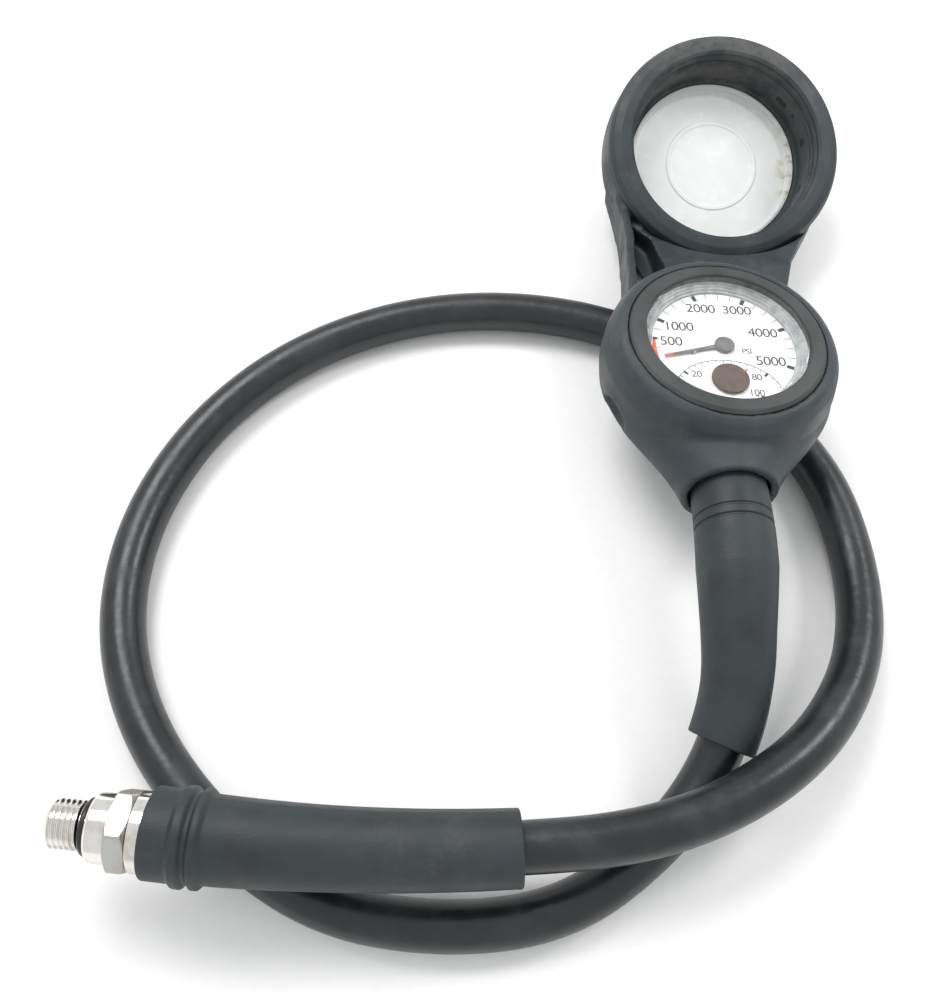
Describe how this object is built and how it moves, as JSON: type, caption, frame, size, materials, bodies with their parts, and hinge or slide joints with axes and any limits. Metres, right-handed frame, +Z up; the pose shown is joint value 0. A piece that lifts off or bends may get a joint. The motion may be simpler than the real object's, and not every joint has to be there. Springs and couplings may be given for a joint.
{
  "type": "scuba regulator set",
  "caption": "Dive console: pressure gauge in a rubber boot with an empty module pocket, on a looped high-pressure hose with bend protectors and a plated end fitting.",
  "frame": {"origin": "bottom centre of the console's box (gauge boot and module pocket, without the hose), on the table", "axes": "+Z up off the table, +Y along the console from the hose neck to the empty pocket, +X to the right"},
  "size_m": [0.2176, 0.2717, 0.0467],
  "materials": {
    "boot_rubber": "satin moulded rubber, dark blue-grey",
    "pocket_rubber": "satin moulded rubber, dark blue-grey, dusty at the rim",
    "sleeve_rubber": "satin moulded rubber, dark blue-grey",
    "hose_rubber": "smooth black, slightly glossy",
    "clear_plastic": "clear, polished",
    "window_plastic": "clear, lightly scuffed",
    "dial_white": "printed white",
    "needle_grey": "matt dark grey with a red tip",
    "disc_brown": "dark brown with a red tick",
    "plated_metal": "polished plating",
    "steel": "stainless",
    "brass": "machined",
    "bronze": "rolled strip",
    "black_plastic": "moulded",
    "seal_rubber": "smooth black"
  },
  "bodies": {
    "console_and_hose": {"gauge_case": "brass", "gauge_back": "brass", "blowout_plug": "seal_rubber", "gauge_lens": "clear_plastic", "lens_seal": "seal_rubber", "lens_ring": "boot_rubber", "dial_plate": "dial_white", "pointer_stop": "steel", "movement_plate": "brass", "lower_bridge": "brass", "bourdon_coil": "bronze", "coil_block": "brass", "gauge_stem": "brass", "thermometer_cup": "black_plastic", "thermometer_coil": "bronze", "gauge_boot": "boot_rubber", "pocket_bezel": "pocket_rubber", "pocket_window": "window_plastic", "module_pocket": "pocket_rubber", "hose_end_barb": "steel", "coupling_nut": "plated_metal", "gauge_end_ferrule": "steel", "gauge_end_sleeve": "sleeve_rubber", "hose": "hose_rubber", "fitting_end_ferrule": "steel", "pressure_fitting": "plated_metal", "fitting_seal": "seal_rubber", "flow_orifice": "steel"},
    "pointer": {"pointer": "needle_grey", "pointer_arbor": "steel"},
    "thermometer": {"thermometer_disc": "disc_brown"},
    "spool": {"swivel_spool": "steel", "spool_seals": "seal_rubber"},
    "sliding_sleeve": {"fitting_end_sleeve": "sleeve_rubber"}
  },
  "joints": [
    {"name": "pointer_turn", "type": "hinge", "parent": "console_and_hose", "child": "pointer", "pos_m": [-0.0079, -0.0399, 0.0385], "axis": [-0.0701, -0.1102, -0.9914], "range_deg": [0, 216.5]},
    {"name": "thermometer_turn", "type": "hinge", "parent": "console_and_hose", "child": "thermometer", "pos_m": [-0.0079, -0.05173, 0.03981], "axis": [-0.0701, -0.1102, -0.9914], "range_deg": [-140, 48]},
    {"name": "spool_spin", "type": "hinge", "parent": "console_and_hose", "child": "spool", "pos_m": [-0.00891, -0.07096, 0.0275], "axis": [0, -0.9939, 0.1104], "continuous": true},
    {"name": "sleeve_slide", "type": "hinge", "parent": "console_and_hose", "child": "sliding_sleeve", "pos_m": [-0.0897, 0.3119, 0.0239], "axis": [0.0325, 0, 0.9995], "range_deg": [0, 2.39]}
  ]
}
